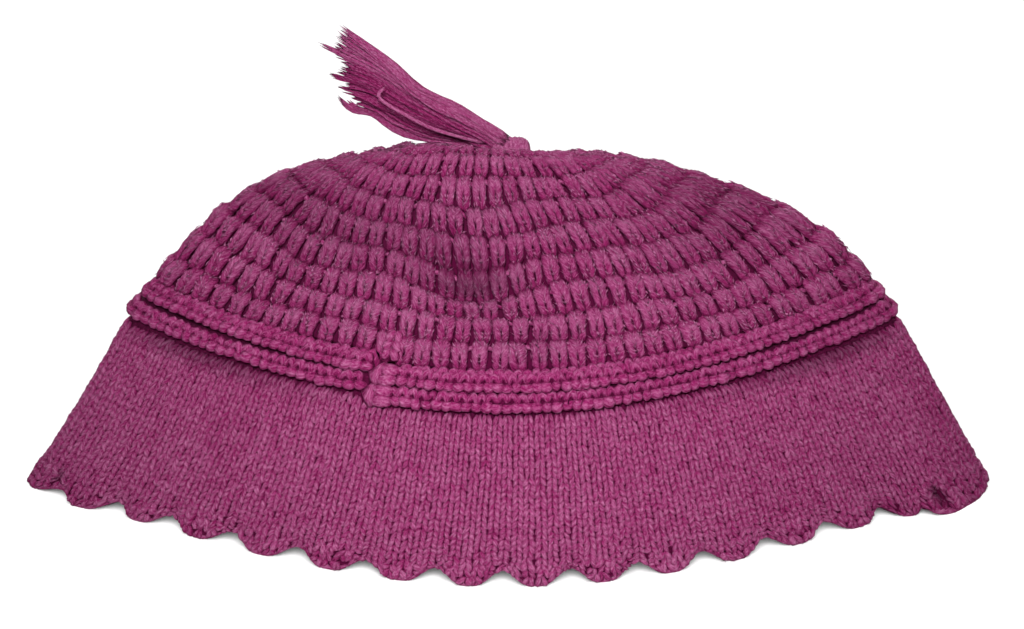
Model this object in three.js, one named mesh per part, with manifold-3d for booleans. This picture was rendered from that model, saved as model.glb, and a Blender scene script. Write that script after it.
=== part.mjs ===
// A knitted kippah that stands on its scalloped rim: a puffy ribbed crown, two knitted welts,
// a flared brim and a yarn tassel. Millimetres, +Z up, the front faces -Y, and the origin lies on
// the floor under the middle of the hat.
import * as THREE from 'three';
import { mergeVertices } from 'three/addons/utils/BufferGeometryUtils.js';
import Module from 'manifold-3d';

// Driving dimensions
const SCALLOPS = 32;
const STEPS_PER_SCALLOP = 3;
const STEPS = SCALLOPS * STEPS_PER_SCALLOP;
const FIRST_STEP = 0.6;
const SCALLOP_DEPTH = 3.8;
const NOTCH_PINCH = 0.9;
const STRETCH_AT_FOLDS = 0.5;
const BRIM_WALL = 2.6;
const HEM_HEIGHT = 5.5;
const HEM_BULGE = 0.7;
const PIECE_GAP = 0.3;
const CROWN_WALL = 3.4;
const CROWN_ROWS = 12;
const RIBBED_ROWS = 10;
const RIB_HEIGHT = 0.7;
const RIB_GROOVE = 0.5;
const SEAM_TURN = -0.33;
const SEAM_STEP = 2.4;
const SEAM_FADE = 0.45;
const SEAM_ROWS = 4;
const YARN = { color: 0x95406d, roughness: 0.92, metalness: 0 };

// Levels of the outer face. Each is a pointed oval: corner rounds its two side folds, pinch draws
// it in beside them, shift moves it sideways, and its height runs from front through side at the
// folds to back.
const LEVEL_COLUMNS = ['at', 'width', 'depth', 'side', 'front', 'back', 'corner', 'pinch', 'shift'];
const toLevel = (row) => Object.fromEntries(LEVEL_COLUMNS.map((name, index) => [name, row[index]]));

// The brim, from its rim to the welts
const BRIM_LEVELS = [
  [0.0, 137.0, 71.5, 0.0, 0.0, 0.0, 0.8, 0.45, 0.0],
  [0.5, 122.0, 66.0, 24.6, 22.8, 22.8, 0.65, 0.3, 0.6],
  [1.0, 107.4, 61.2, 50.4, 46.0, 46.0, 0.5, 0.16, 0.9],
].map(toLevel);

// The wall behind the two welts, from the brim to the crown
const WELT_LEVELS = [
  [0, 106.4, 60.6, 50.4, 46.0, 46.0, 0.5, 0.16, 0.9],
  [1, 103.6, 59.2, 56.0, 51.2, 51.2, 0.5, 0.14, 0.9],
  [2, 100.6, 57.6, 61.4, 56.4, 56.4, 0.5, 0.12, 0.9],
].map(toLevel);

// The crown, counted in knitted rows from the welts to the gathered top, which slumps backward
const CROWN_LEVELS = [
  [0, 100.0, 57.4, 61.4, 56.4, 56.4, 0.5, 0.12, 0.9],
  [2, 89.4, 48.2, 72.4, 68.6, 67.0, 0.55, 0.1, 0.4],
  [4, 76.4, 36.8, 82.4, 81.2, 77.0, 0.6, 0.08, -2.0],
  [6, 61.4, 24.8, 90.0, 92.4, 85.0, 0.7, 0.05, -5.4],
  [8, 44.6, 13.8, 95.8, 100.8, 91.0, 0.9, 0.0, -6.4],
  [10, 24.0, 7.6, 97.4, 99.4, 94.2, 1.2, 0.0, -5.0],
  [12, 0.0, 0.0, 96.2, 96.2, 96.2, 1.2, 0.0, 1.7],
].map(toLevel);

// Section of a welt: out is measured from the wall behind it, up is a share of its height
const WELT_SECTION = [
  { out: -2.4, up: 0.0 },
  { out: 0.8, up: 0.0 },
  { out: 2.2, up: 0.2 },
  { out: 2.7, up: 0.5 },
  { out: 2.2, up: 0.8 },
  { out: 0.8, up: 1.0 },
  { out: -2.4, up: 1.0 },
];

// Soft hollows and, where sink is negative, bulges on the front of the crown
const CROWN_DENTS = [
  { x: -9, row: 2.8, halfWidth: 15, halfRows: 0.9, sink: 2.8 },
  { x: -10, row: 4.3, halfWidth: 20, halfRows: 1.0, sink: -2.2 },
];
const FRONT_NORMAL = new THREE.Vector3(0, -0.74, 0.67);
const INNER_ROWS = [10, 8, 6, 4, 3, 2, 1, 0];

// Locks of the tassel: where each ends, how far it bows upward, and its thickest radius
const TASSEL_LOCKS = [
  { tipX: -44, tipY: 8, tipZ: 130, bow: 1.0, radius: 2.6 },
  { tipX: -50, tipY: 14, tipZ: 123, bow: 1.5, radius: 2.8 },
  { tipX: -51, tipY: 5, tipZ: 125, bow: 1.5, radius: 2.8 },
  { tipX: -50, tipY: 18, tipZ: 116, bow: 2.0, radius: 2.8 },
  { tipX: -50, tipY: 10, tipZ: 118, bow: 2.0, radius: 3.0 },
  { tipX: -49, tipY: 2, tipZ: 117, bow: 2.0, radius: 2.8 },
  { tipX: -48, tipY: 17, tipZ: 109, bow: 1.5, radius: 2.8 },
  { tipX: -48, tipY: 9, tipZ: 110, bow: 1.0, radius: 2.8 },
  { tipX: -46, tipY: 3, tipZ: 109, bow: 1.0, radius: 2.6 },
  { tipX: -41, tipY: 11, tipZ: 105, bow: 1.0, radius: 2.4 },
];
const LOCK_SIDES = 6;
const LOCK_WIDTHS = [0.4, 0.7, 0.95, 1.0, 1.0, 0.75];
const KNOT = { radiusX: 3.6, radiusY: 3.4, radiusZ: 2.7 };
const KNOT_SEAT = 0.8;
const KNOT_ACROSS = 12;
const KNOT_DOWN = 8;
const MERGE_WITHIN = 1e-4;

// A value between two rows of a table that also follows the slope of the rows on either side
function smoothBetween(before, start, end, after, share) {
  const slopeIn = (end - before) / 2;
  const slopeOut = (after - start) / 2;
  const square = share * share;
  const cube = square * share;
  return start * (2 * cube - 3 * square + 1) + slopeIn * (cube - 2 * square + share)
    + end * (3 * square - 2 * cube) + slopeOut * (cube - square);
}

// The level of a table at a place between its rows, which are evenly spaced
function levelAt(table, at) {
  const last = table.length - 1;
  const spacing = table[1].at - table[0].at;
  const place = Math.min(Math.max((at - table[0].at) / spacing, 0), last);
  const index = Math.min(Math.floor(place), last - 1);
  const start = table[index];
  const end = table[index + 1];
  const level = {};
  for (const column of Object.keys(start)) {
    const before = index > 0 ? table[index - 1][column] : 2 * start[column] - end[column];
    const after = index + 2 <= last ? table[index + 2][column] : 2 * end[column] - start[column];
    level[column] = smoothBetween(before, start[column], end[column], after, place - index);
  }
  return level;
}

// A point of a level at a turn round the hat: 0 is the front, a quarter turn is the right fold
function pointOn(level, turn, outward) {
  const aside = Math.sin(turn);
  const ahead = Math.cos(turn);
  const fold = Math.sqrt((ahead ** 2 + level.corner ** 2) / (1 + level.corner ** 2));
  const drawnIn = 1 - level.pinch * aside ** 2;
  const middle = ahead > 0 ? level.front : level.back;
  return new THREE.Vector3(
    level.shift + (level.width + outward) * aside,
    -(level.depth + outward) * ahead * fold * drawnIn,
    middle + (level.side - middle) * aside ** 2,
  );
}

// Turns that space the steps evenly along the rim, from the left fold round the front. Depth
// counts for less than width, because the knit is stretched towards the folds.
function evenTurns(count) {
  const samples = 4800;
  const rim = BRIM_LEVELS[0];
  const turnOf = (index) => -Math.PI / 2 + (2 * Math.PI * index) / samples;
  const lengths = [0];
  for (let index = 0; index < samples; index += 1) {
    const stride = pointOn(rim, turnOf(index + 1), 0).sub(pointOn(rim, turnOf(index), 0));
    lengths.push(lengths[index] + Math.hypot(stride.x, STRETCH_AT_FOLDS * stride.y));
  }
  const turns = [];
  let index = 0;
  for (let step = 0; step < count; step += 1) {
    const wanted = (lengths[samples] * (step + FIRST_STEP)) / count;
    while (lengths[index + 1] <= wanted) {
      index += 1;
    }
    const share = (wanted - lengths[index]) / (lengths[index + 1] - lengths[index]);
    turns.push(turnOf(index + share));
  }
  return turns;
}

const TURNS = evenTurns(STEPS);

// The knitted rounds start and end at one seam, where they meet with a small step
function seamLift(turn) {
  const away = turn - SEAM_TURN;
  return -Math.sign(away) * (SEAM_STEP / 2) * Math.exp(-Math.abs(away) / SEAM_FADE);
}

// A ring of points round a level, set outward, lifted by the share of the seam and then by rise
function ringOf(level, outward, seamShare, rise) {
  return TURNS.map((turn) => {
    const point = pointOn(level, turn, outward);
    point.z += seamShare * seamLift(turn) + rise;
    return point;
  });
}

// Joins rings of equal length into a skin that faces out. A loop of rings closes on itself, and
// otherwise the first and the last ring end in a pole.
function skinRings(rings, poles) {
  const count = rings[0].length;
  const points = rings.flat();
  const faces = [];
  const bands = poles ? rings.length - 1 : rings.length;
  for (let band = 0; band < bands; band += 1) {
    const low = band * count;
    const high = ((band + 1) % rings.length) * count;
    for (let step = 0; step < count; step += 1) {
      const next = (step + 1) % count;
      faces.push(low + step, low + next, high + next);
      faces.push(low + step, high + next, high + step);
    }
  }
  if (poles) {
    const lastRing = (rings.length - 1) * count;
    const firstPole = points.push(poles.first) - 1;
    const lastPole = points.push(poles.last) - 1;
    for (let step = 0; step < count; step += 1) {
      const next = (step + 1) % count;
      faces.push(next, step, firstPole);
      faces.push(lastRing + step, lastRing + next, lastPole);
    }
  }
  const geometry = new THREE.BufferGeometry().setFromPoints(points);
  geometry.setIndex(faces);
  return geometry;
}

function namedMesh(name, geometry) {
  geometry.computeVertexNormals();
  const mesh = new THREE.Mesh(geometry, new THREE.MeshStandardMaterial(YARN));
  mesh.name = name;
  return mesh;
}

// A ring of the hem: each scallop has two steps on the floor and one in the notch beside it
function hemRing(rise, outward) {
  const top = BRIM_LEVELS[BRIM_LEVELS.length - 1];
  const level = { ...levelAt(BRIM_LEVELS, rise / top.front), side: rise, front: rise, back: rise };
  return TURNS.map((turn, step) => {
    const inNotch = step % STEPS_PER_SCALLOP === STEPS_PER_SCALLOP - 1;
    const point = pointOn(level, turn, inNotch ? outward - NOTCH_PINCH : outward);
    point.z += inNotch ? SCALLOP_DEPTH : 0;
    return point;
  });
}

// The brim: a flared wall whose scalloped hem is a little thicker
function makeBrim() {
  const middle = levelAt(BRIM_LEVELS, 0.5);
  const top = levelAt(BRIM_LEVELS, 1);
  return namedMesh('brim', skinRings([
    hemRing(0, -BRIM_WALL),
    hemRing(0, 0),
    hemRing(HEM_HEIGHT / 2, HEM_BULGE),
    hemRing(HEM_HEIGHT, 0),
    ringOf(middle, 0, 0.25, 0),
    ringOf(top, 0, 1, -PIECE_GAP),
    ringOf(top, -BRIM_WALL, 1, -PIECE_GAP),
    ringOf(middle, -BRIM_WALL, 0.25, 0),
    hemRing(HEM_HEIGHT, -BRIM_WALL),
  ]));
}

// A welt: a knitted roll that stands proud of the wall, from one level to the next
function makeWelt(name, from) {
  const rings = WELT_SECTION.map(
    ({ out, up }) => ringOf(levelAt(WELT_LEVELS, from + up), out, 1, -PIECE_GAP * up),
  );
  return namedMesh(name, skinRings(rings));
}

// How far the front of the crown is pushed out at a place
function crownPush(x, row) {
  let push = 0;
  for (const dent of CROWN_DENTS) {
    const across = (x - dent.x) / dent.halfWidth;
    const along = (row - dent.row) / dent.halfRows;
    push -= dent.sink * Math.exp(-(across ** 2) - along ** 2);
  }
  return push;
}

function crownRing(row, outward, rise) {
  const seamShare = Math.max(0, 1 - row / SEAM_ROWS);
  return ringOf(levelAt(CROWN_LEVELS, row), outward, seamShare, rise).map((point) => {
    const push = point.y < 0 ? crownPush(point.x, row) : 0;
    return point.addScaledVector(FRONT_NORMAL, push);
  });
}

// The crown: a domed wall with a rib for each knitted row below its gathered top. Its skin comes
// down the inside and goes up the outside.
function makeCrown() {
  const rings = INNER_ROWS.map((row) => {
    const share = row / CROWN_ROWS;
    return crownRing(row, -CROWN_WALL * (1 - share / 2), -CROWN_WALL * Math.sqrt(share));
  });
  for (let row = 0; row < RIBBED_ROWS; row += 1) {
    rings.push(crownRing(row, -RIB_GROOVE, 0));
    rings.push(crownRing(row + 0.5, RIB_HEIGHT, 0));
  }
  rings.push(crownRing(RIBBED_ROWS, 0, 0));
  rings.push(crownRing((RIBBED_ROWS + CROWN_ROWS) / 2, 0, 0));
  const apex = pointOn(levelAt(CROWN_LEVELS, CROWN_ROWS), 0, 0);
  const innerApex = apex.clone().setZ(apex.z - CROWN_WALL);
  return namedMesh('crown', skinRings(rings, { first: innerApex, last: apex }));
}

const wasm = await Module();
wasm.setup();

function toSolid(geometry) {
  geometry.deleteAttribute('normal');
  geometry.deleteAttribute('uv');
  const merged = mergeVertices(geometry, MERGE_WITHIN);
  return new wasm.Manifold(new wasm.Mesh({
    numProp: 3,
    vertProperties: new Float32Array(merged.getAttribute('position').array),
    triVerts: new Uint32Array(merged.getIndex().array),
  }));
}

function toGeometry(solid) {
  const { vertProperties, triVerts } = solid.getMesh();
  const geometry = new THREE.BufferGeometry();
  geometry.setAttribute('position', new THREE.BufferAttribute(new Float32Array(vertProperties), 3));
  geometry.setIndex(new THREE.BufferAttribute(new Uint32Array(triVerts), 1));
  return geometry;
}

// One lock of yarn from the knot to its tip, thickest past its middle
function makeLock(lock, root) {
  const tip = new THREE.Vector3(lock.tipX, lock.tipY, lock.tipZ);
  const middle = root.clone().lerp(tip, 0.5);
  middle.z += lock.bow;
  const path = new THREE.QuadraticBezierCurve3(root, middle, tip);
  const rings = LOCK_WIDTHS.map((width, index) => {
    const share = (index + 1) / (LOCK_WIDTHS.length + 0.5);
    const centre = path.getPoint(share);
    const along = path.getTangent(share);
    const across = new THREE.Vector3(0, 1, 0).cross(along).normalize();
    const aside = along.clone().cross(across);
    return Array.from({ length: LOCK_SIDES }, (unused, side) => {
      const angle = (2 * Math.PI * side) / LOCK_SIDES;
      return centre.clone()
        .addScaledVector(across, lock.radius * width * Math.cos(angle))
        .addScaledVector(aside, lock.radius * width * Math.sin(angle));
    });
  });
  return skinRings(rings, { first: root, last: tip });
}

// The tassel: a small knot seated on the gathered top, with its locks fused to it
function makeTassel() {
  const apex = pointOn(levelAt(CROWN_LEVELS, CROWN_ROWS), 0, 0);
  const centre = apex.clone().setZ(apex.z + KNOT_SEAT + KNOT.radiusZ);
  const knot = new THREE.SphereGeometry(1, KNOT_ACROSS, KNOT_DOWN);
  knot.rotateX(Math.PI / 2);
  knot.scale(KNOT.radiusX, KNOT.radiusY, KNOT.radiusZ);
  knot.translate(centre.x, centre.y, centre.z);
  let solid = toSolid(knot);
  for (const lock of TASSEL_LOCKS) {
    solid = solid.add(toSolid(makeLock(lock, centre)));
  }
  return namedMesh('tassel', toGeometry(solid));
}

const kippah = new THREE.Group();
kippah.add(makeBrim());
kippah.add(makeWelt('lower_welt', 0));
kippah.add(makeWelt('upper_welt', 1));
kippah.add(makeCrown());
kippah.add(makeTassel());

export default kippah;
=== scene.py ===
"""A knitted kippah as it looks: every stitch of its flared brim, welts and puffy crown, and its yarn tassel.

The form is worked out in millimetres, near the levels of the solids, and goes to Blender in metres.
"""
import math
from typing import NamedTuple

import bpy
import numpy as np
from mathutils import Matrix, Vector


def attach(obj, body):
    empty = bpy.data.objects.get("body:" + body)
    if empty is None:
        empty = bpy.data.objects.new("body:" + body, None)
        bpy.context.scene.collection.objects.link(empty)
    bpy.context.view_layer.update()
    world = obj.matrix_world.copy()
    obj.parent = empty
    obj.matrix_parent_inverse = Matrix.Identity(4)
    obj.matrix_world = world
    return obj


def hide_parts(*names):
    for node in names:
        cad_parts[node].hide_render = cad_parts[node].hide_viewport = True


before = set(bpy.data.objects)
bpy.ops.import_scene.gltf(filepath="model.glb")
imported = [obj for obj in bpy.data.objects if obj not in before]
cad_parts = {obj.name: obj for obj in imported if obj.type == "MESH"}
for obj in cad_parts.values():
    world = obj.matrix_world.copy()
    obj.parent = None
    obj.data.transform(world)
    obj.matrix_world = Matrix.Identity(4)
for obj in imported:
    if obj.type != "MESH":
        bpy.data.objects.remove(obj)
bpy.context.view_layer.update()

MM = 0.001
random = np.random.default_rng(7)

# Levels of the outer face. Each is a pointed oval: corner rounds its two side folds, pinch draws it in
# beside them, shift moves it sideways, and its height runs from front through side to back.
# Columns: at, width, depth, side, front, back, corner, pinch, shift
BRIM_LEVELS = np.array([
    (0.0, 136.7, 71.5, 0.0, 0.0, 0.0, 0.80, 0.45, -0.3),
    (0.5, 122.0, 66.0, 24.6, 22.8, 22.8, 0.65, 0.30, 0.6),
    (1.0, 107.4, 61.2, 50.4, 46.0, 46.0, 0.50, 0.16, 0.9),
])
WELT_LEVELS = np.array([
    (0.0, 106.0, 60.6, 50.4, 46.0, 46.0, 0.50, 0.16, 0.5),
    (1.0, 102.4, 59.2, 56.0, 51.2, 51.2, 0.50, 0.14, 0.6),
    (2.0, 96.4, 57.6, 61.4, 56.4, 56.4, 0.50, 0.12, 0.9),
])
CROWN_LEVELS = np.array([
    (0.0, 100.0, 57.4, 61.4, 56.4, 56.4, 0.50, 0.12, 0.9),
    (2.0, 89.4, 48.2, 72.4, 68.6, 67.0, 0.55, 0.10, 0.4),
    (4.0, 76.4, 36.8, 82.4, 81.2, 77.0, 0.60, 0.08, -2.0),
    (6.0, 60.2, 24.8, 90.0, 92.4, 85.0, 0.70, 0.05, -5.4),
    (8.0, 42.0, 13.8, 95.4, 100.8, 91.0, 0.90, 0.00, -6.4),
    (10.0, 24.0, 7.6, 97.4, 99.4, 94.2, 1.20, 0.00, -5.0),
    (12.0, 0.0, 0.0, 96.2, 96.2, 96.2, 1.20, 0.00, 1.7),
])
# How closely the stitches sit where a round runs from front to back, as a share of how they sit across the
# front. Columns: how far aside, share
BRIM_CLOSENESS = ((0.0, 0.5), (1.0, 0.5))
CROWN_CLOSENESS = ((0.0, 0.2), (0.93, 0.2), (1.0, 0.75))

# The seam where the knitted rounds start and end with a small step
SEAM_TURN = -0.375
SEAM_STEP = 2.4
SEAM_FADE = 0.45
SEAM_ROWS = 4
SEAM_WIDTH = 0.025
WELT_SEAM_WIDTH = 0.006
# How the welts stand proud where they start and sink where they end, and over what turn
WELT_START = (0.8, 0.06)
WELT_END = (1.8, 0.035)

# The brim's plain knitting and its scalloped edge
WALES = 168
BRIM_ROWS = 28
BRIM_HEIGHT = 46.0
BRIM_WALL = 2.6
SCALLOPS = 32
SCALLOP_PHASE = 0.37
SCALLOP_DEPTH = 3.6
NOTCH_SHARPNESS = 1.7
SCALLOP_ROWS = 8.0
# Columns: share of the way round, how many scallops the edge runs ahead of even spacing there
SCALLOP_SLIP = (
    (0.0, 0.40), (0.03, 0.28), (0.05, 0.26), (0.08, 0.32), (0.11, 0.26), (0.21, 0.0),
    (0.437, -0.19), (0.45, -0.05), (0.465, 0.17), (0.483, -0.09), (0.517, -0.67), (1.0, 0.40),
)
# Columns: share of the way round, size of the scallops there
SCALLOP_SIZES = (
    (0.0, 0.75), (0.07, 1.0), (0.44, 1.0), (0.46, 0.7), (0.52, 0.6), (0.56, 1.0), (0.96, 1.0), (1.0, 0.75),
)
# The edge flares at a scallop's tip and is drawn in at a notch, and the top is drawn in under the welt
LOBE_FLARE = 0.9
NOTCH_TUCK = 1.8
WELT_TUCK = 0.7
WELT_TUCK_ROWS = 2.0
LESS_TUCK_AT_FOLDS = 0.7
FOLD_SHARPNESS = 8
# The painted shadow under the sides of the lower welt: turn, half width, first row, rows to its darkest,
# light lost
WELT_SHADOW = (0.95, 0.42, 24.6, 2.0, 0.5)

# The brim's two corners bulge forward: turn, half width, push
CORNERS = ((-1.2, 0.25, 4.5), (1.2, 0.24, 8.0), (1.08, 0.09, 4.5))
CORNER_ROWS = 20.0
# Hollows beside the corners: turn, row, half width, half rows, depth, share of the light lost to painted
# shadow
BRIM_HOLLOWS = ((-1.257, 2.6, 0.03, 1.3, 3.0, 0.4), (1.10, 2.4, 0.032, 1.7, 6.5, 0.7))

# How a welt's face rolls out: its rise as a share of a level, and its bulge
WELT_RISE = 0.46
WELT_BULGE = 2.2

# The crown's rows of puffy stitches
CROWN_ROWS = 12
CROWN_WALL = 3.4
CROWN_PITCHES = ((0, 5.1), (3, 4.6), (7, 4.1), (12, 3.9))

# Hollows and bulges of the crown's front: x, row, half width, half rows, sink
CROWN_DENTS = (
    (-9.0, 2.75, 14.0, 0.75, 4.4),
    (-10.0, 4.2, 17.0, 0.9, -3.0),
)
FRONT_NORMAL = np.array([0.0, -0.74, 0.67])
# The share of the light that is lost along the crown's rows, as painted shade. Columns: row, share
CROWN_SHADES = ((0, 0.09), (6, 0.14), (9, 0.0))
# Where the crown's front lies in painted shadow: x, row, half width, half rows, share of the light lost
CROWN_SHADOWS = (
    (-9.5, 3.65, 11.5, 0.7, 0.41),
    (-18.0, 4.5, 10.0, 0.6, 0.15),
    (-48.0, 4.3, 32.0, 1.5, 0.21),
    (64.0, 4.3, 32.0, 1.6, 0.24),
    (5.0, 1.0, 14.0, 0.8, 0.12),
)

# How the rows sag towards the dent: x, row, half width, half rows, rows dropped
ROW_SAG = (-10.5, 4.3, 16.0, 2.0, 0.66)

# How the rows bend between the front and the sides: they dip at the bend and climb behind it
BEND_ASIDE = 0.67
BEND_WIDTH = 0.24
BEND_DIP = 0.5
BEND_ROW = 3.3
BEND_ROWS = 2.0
CLIMB_ASIDE = 0.5
ROW_CLIMB = 1.7
FIRST_CLIMBING_ROW = 0.7
# The rows also wave a little: their height, their number round the hat and their shift from row to row
ROW_WAVE = 0.05
ROW_WAVES = 11
ROW_WAVE_SHIFT = 2

# The hump of the crown's top beside the knot: x, row, half width, half rows, height
TOP_HUMP = (-22.0, 10.0, 15.0, 2.6, 2.4)


# The form of the hat

def level_at(table, at):
    """The columns of a level between the rows of a table, on a smooth curve through them."""
    last = len(table) - 1
    spacing = table[1, 0] - table[0, 0]
    place = np.clip((at - table[0, 0]) / spacing, 0, last)
    index = np.minimum(place.astype(int), last - 1)
    return smooth_between(table, index, (place - index)[:, None]).T[1:]


def smooth_between(rows, index, share):
    """Values between two rows that also follow the slope of the rows on either side."""
    rows = np.vstack([2 * rows[0] - rows[1], rows, 2 * rows[-1] - rows[-2]])
    before, start, end, after = rows[index], rows[index + 1], rows[index + 2], rows[index + 3]
    square, cube = share ** 2, share ** 3
    return (start * (2 * cube - 3 * square + 1) + (end - before) / 2 * (cube - 2 * square + share)
            + end * (3 * square - 2 * cube) + (after - start) / 2 * (cube - square))


def point_on(level, turn, outward):
    """Points of levels at turns round the hat: 0 is the front, a quarter turn is the right fold."""
    width, depth, side, front, back, corner, pinch, shift = level
    aside, ahead = np.sin(turn), np.cos(turn)
    fold = np.sqrt((ahead ** 2 + corner ** 2) / (1 + corner ** 2))
    middle = np.where(ahead > 0, front, back)
    return np.stack([
        shift + (width + outward) * aside,
        -(depth + outward) * ahead * fold * (1 - pinch * aside ** 2),
        middle + (side - middle) * aside ** 2,
    ], axis=1)


def rim_lengths(closeness, samples=4800):
    """Turns from the left fold round the front, and the length of knitting up to each."""
    turns = -math.pi / 2 + 2 * math.pi * np.arange(samples + 1) / samples
    rim = point_on(level_at(BRIM_LEVELS, np.zeros(samples + 1)), turns, 0.0)
    strides = np.diff(rim, axis=0)
    close = np.interp(np.abs(np.sin(turns[:-1])), *zip(*closeness))
    lengths = np.cumsum(np.hypot(strides[:, 0], close * strides[:, 1]))
    return turns, np.concatenate([[0.0], lengths])


RIM_TURNS, RIM_LENGTHS = rim_lengths(BRIM_CLOSENESS)
CROWN_LENGTHS = rim_lengths(CROWN_CLOSENESS)[1]


def turn_at(share, lengths=RIM_LENGTHS):
    """The turn at a share of the way round, from the left fold, with the stitches evenly spaced."""
    return np.interp(np.mod(share, 1.0) * lengths[-1], lengths, RIM_TURNS)


def share_at(turn, lengths=RIM_LENGTHS):
    """The share of the way round at a turn."""
    return float(np.interp(turn, RIM_TURNS, lengths) / lengths[-1])


SEAM_WALE = share_at(SEAM_TURN) * WALES


def seam_lift(turn, width=SEAM_WIDTH):
    """How far a round is lifted beside the seam."""
    away = turn - SEAM_TURN
    return -np.tanh(away / width) * SEAM_STEP / 2 * np.exp(-np.abs(away) / SEAM_FADE)


def hump(value, centre, half):
    """A smooth hump: 1 at its centre, and about a third at its half width."""
    return np.exp(-((value - centre) / half) ** 2)


def scallop(share):
    """How far the edge is drawn up: 0 at the tip of a scallop, 1 in the notch beside it."""
    slip = np.interp(np.mod(share, 1.0), *zip(*SCALLOP_SLIP))
    wave = 0.5 - 0.5 * np.cos(2 * math.pi * (share * SCALLOPS - SCALLOP_PHASE + slip))
    return wave ** NOTCH_SHARPNESS * np.interp(np.mod(share, 1.0), *zip(*SCALLOP_SIZES))


def brim_place(wale, row, outward=0.0):
    """The brim's face at a wale and a row. The lowest rows follow the scalloped edge."""
    share = wale / WALES
    turn = turn_at(share)
    near_edge = np.clip(1 - row / SCALLOP_ROWS, 0, 1) ** 2
    notch = scallop(share) * near_edge
    at = row / BRIM_ROWS + SCALLOP_DEPTH / BRIM_HEIGHT * notch
    ruffle = LOBE_FLARE * near_edge - NOTCH_TUCK * notch
    tuck = WELT_TUCK * (1 - LESS_TUCK_AT_FOLDS * np.sin(turn) ** FOLD_SHARPNESS)
    ruffle = ruffle - tuck * np.clip(row - BRIM_ROWS + WELT_TUCK_ROWS, 0, WELT_TUCK_ROWS) ** 2
    point = point_on(level_at(BRIM_LEVELS, at), turn, outward + ruffle)
    point[:, 2] += seam_lift(turn) * np.clip(at, 0, 1) ** 2
    point[:, 2] += np.minimum(row, 0) * BRIM_HEIGHT / BRIM_ROWS
    for corner, half, push in CORNERS:
        point[:, 1] -= push * hump(turn, corner, half) * np.clip(1 - row / CORNER_ROWS, 0, 1)
    for hollow, hollow_row, half, half_rows, depth, _ in BRIM_HOLLOWS:
        point[:, 1] += depth * hump(turn, hollow, half) * hump(row, hollow_row, half_rows)
    return point


def brim_shadow(wale, row):
    """The share of the light that is lost in the brim's hollows and under the lower welt, as painted shadow.
    """
    turn = turn_at(wale / WALES)
    under, half_under, first_row, rows, lost_under = WELT_SHADOW
    shadow = lost_under * hump(np.abs(turn), under, half_under) * np.clip((row - first_row) / rows, 0, 1)
    for hollow, hollow_row, half, half_rows, _, lost in BRIM_HOLLOWS:
        shadow += lost * hump(turn, hollow, half) * hump(row, hollow_row, half_rows)
    return shadow


def bent_row(turn, row):
    """The crown's row with its dip and climb between the front and the sides."""
    aside = np.abs(np.sin(turn))
    climbing = np.clip(row - FIRST_CLIMBING_ROW, 0, CROWN_ROWS) / (CROWN_ROWS - FIRST_CLIMBING_ROW)
    behind_bend = np.clip((aside - CLIMB_ASIDE) / (1 - CLIMB_ASIDE), 0, 1)
    at_bend = np.clip(1 - np.abs(aside - BEND_ASIDE) / BEND_WIDTH, 0, 1)
    climb = ROW_CLIMB * np.sin(math.pi * climbing) * behind_bend
    dip = BEND_DIP * hump(row, BEND_ROW, BEND_ROWS) * at_bend
    wave = ROW_WAVE * np.sin(ROW_WAVES * turn + ROW_WAVE_SHIFT * row) * np.clip(row, 0, 1)
    return row + climb - dip + wave


def crown_place(share, row, outward=0.0):
    """The crown's face at a share of the way round and a row."""
    turn = turn_at(share, CROWN_LENGTHS)
    row = bent_row(turn, row)
    x, y, _ = point_on(level_at(CROWN_LEVELS, row), turn, outward).T
    sag_x, sag_row, sag_width, sag_rows, dropped = ROW_SAG
    at_front = np.where(y < 0, 1.0, 0.0)
    row = row - dropped * hump(x, sag_x, sag_width) * hump(row, sag_row, sag_rows) * at_front
    point = point_on(level_at(CROWN_LEVELS, row), turn, outward)
    point[:, 2] += seam_lift(turn) * np.clip(1 - row / SEAM_ROWS, 0, 1)
    push = np.zeros(len(point))
    for dent_x, dent_row, half_width, half_rows, sink in CROWN_DENTS:
        push -= sink * hump(point[:, 0], dent_x, half_width) * hump(row, dent_row, half_rows)
    hump_x, hump_row, hump_width, hump_rows, hump_height = TOP_HUMP
    point[:, 2] += hump_height * hump(point[:, 0], hump_x, hump_width) * hump(row, hump_row, hump_rows)
    return point + FRONT_NORMAL * (push * at_front)[:, None]


def crown_shadow(share, row):
    """The share of the light that is lost along the crown's rows and where its front lies in shadow, as
    painted shadow.
    """
    x, y, _ = crown_place(share, row).T
    shadow = np.interp(row, *zip(*CROWN_SHADES))
    for shadow_x, shadow_row, half_width, half_rows, lost in CROWN_SHADOWS:
        shadow += lost * hump(x, shadow_x, half_width) * hump(row, shadow_row, half_rows) * (y < 0)
    return shadow


def welt_place(base):
    """The face of the welt that starts at a level: a roll, by wale and by the angle round its middle."""
    def place(wale, angle, outward=0.0):
        turn = turn_at(wale / WALES)
        away = turn - SEAM_TURN
        proud, start = WELT_START
        sunk, end = WELT_END
        seam = np.where(away > 0, proud * np.exp(-np.abs(away) / start), -sunk * np.exp(-np.abs(away) / end))
        level = level_at(WELT_LEVELS, base + 0.5 + WELT_RISE * np.sin(angle))
        point = point_on(level, turn, outward + seam + WELT_BULGE * np.cos(angle))
        point[:, 2] += seam_lift(turn, WELT_SEAM_WIDTH)
        return point
    return place


# How far apart the points lie that give the slope of a face: millimetres across it, and rows along it
SLOPE_ACROSS = 0.05
SLOPE_ALONG = 0.02
SMALLEST_LENGTH = 1e-9


def above(place, across, along, height, step):
    """Points at a height over a face."""
    point = place(across, along)
    sideways = place(across + step, along) - place(across - step, along)
    upward = place(across, along + SLOPE_ALONG) - place(across, along - SLOPE_ALONG)
    normal = np.cross(sideways, upward)
    normal /= np.maximum(np.linalg.norm(normal, axis=1, keepdims=True), SMALLEST_LENGTH)
    return point + normal * height[:, None]


# Lengths of yarn and the meshes that collect them

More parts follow.
